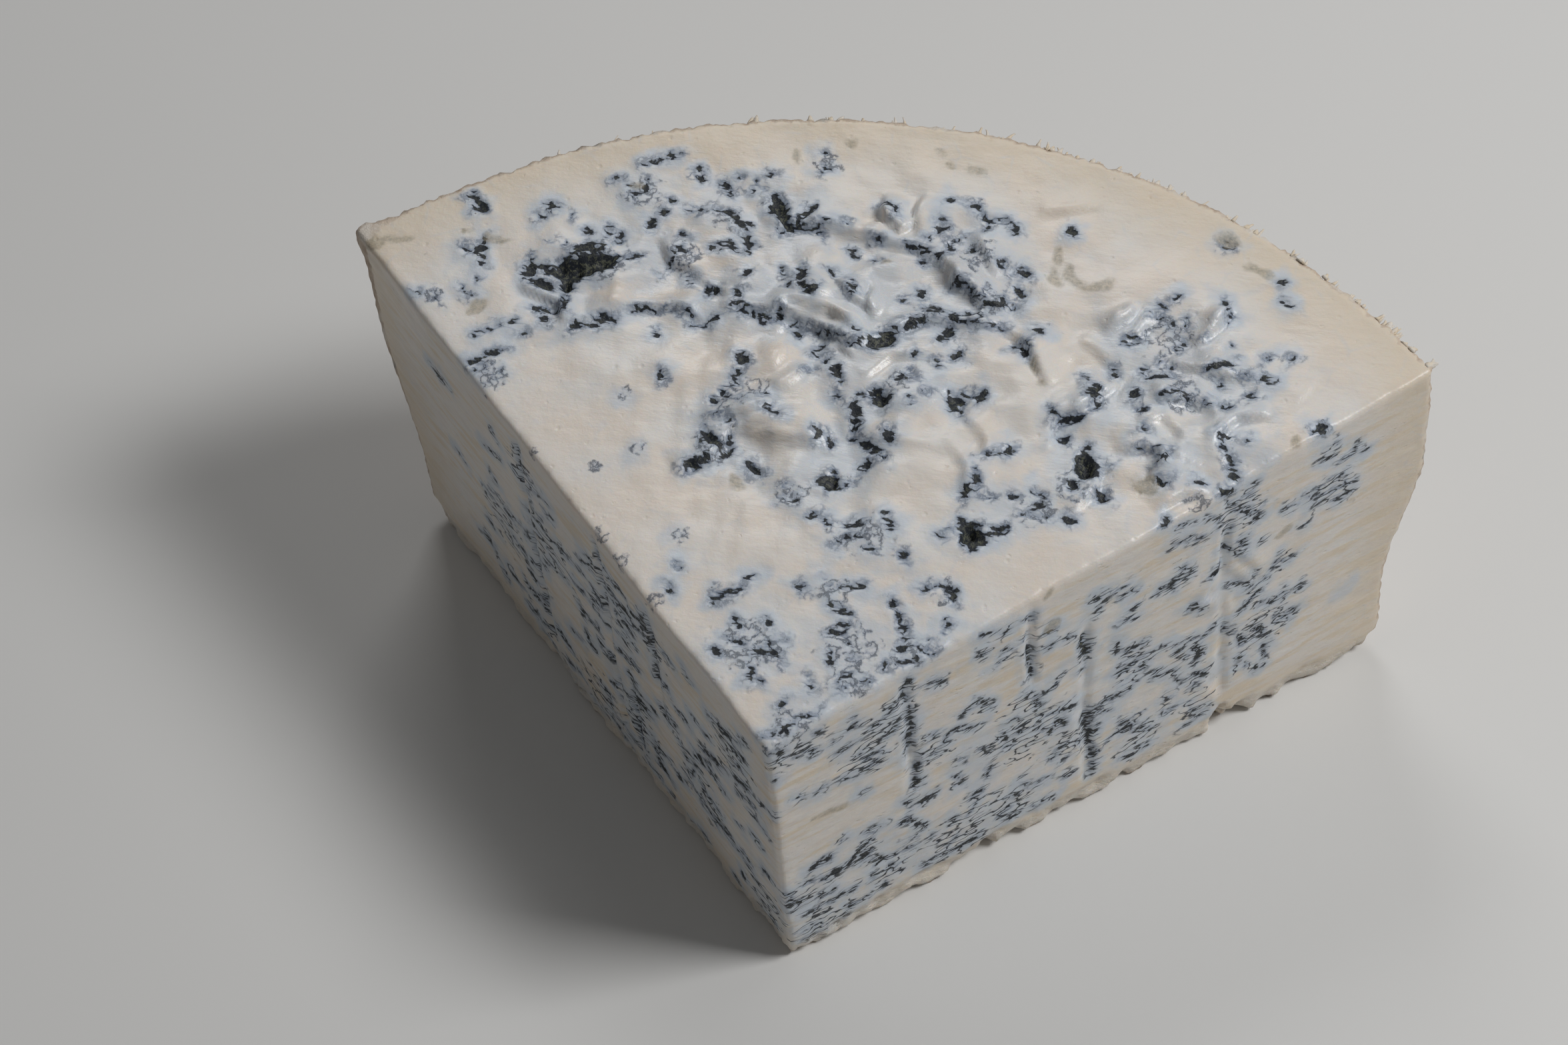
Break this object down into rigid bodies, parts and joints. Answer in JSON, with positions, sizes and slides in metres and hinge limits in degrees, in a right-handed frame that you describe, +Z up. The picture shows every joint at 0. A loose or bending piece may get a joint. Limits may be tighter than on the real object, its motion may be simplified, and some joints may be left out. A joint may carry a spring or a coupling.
{
  "type": "blue cheese wedge",
  "caption": "Thick pie-shaped wedge of blue-veined cheese cut from the lower half of a wheel, with two knife-cut faces, a sloping cut top, a waisted rind and a flat foot.",
  "frame": {"origin": "middle of the base of the wedge's bounding box, on the flat foot", "axes": "+Z up from the foot, +Y from the pointed end towards the rind, +X to the right with the pointed end in front"},
  "size_m": [0.2188, 0.1494, 0.0865],
  "materials": {
    "cheese_paste": "satin"
  },
  "bodies": {
    "root": {"cheese_wedge": "cheese_paste"}
  },
  "joints": []
}
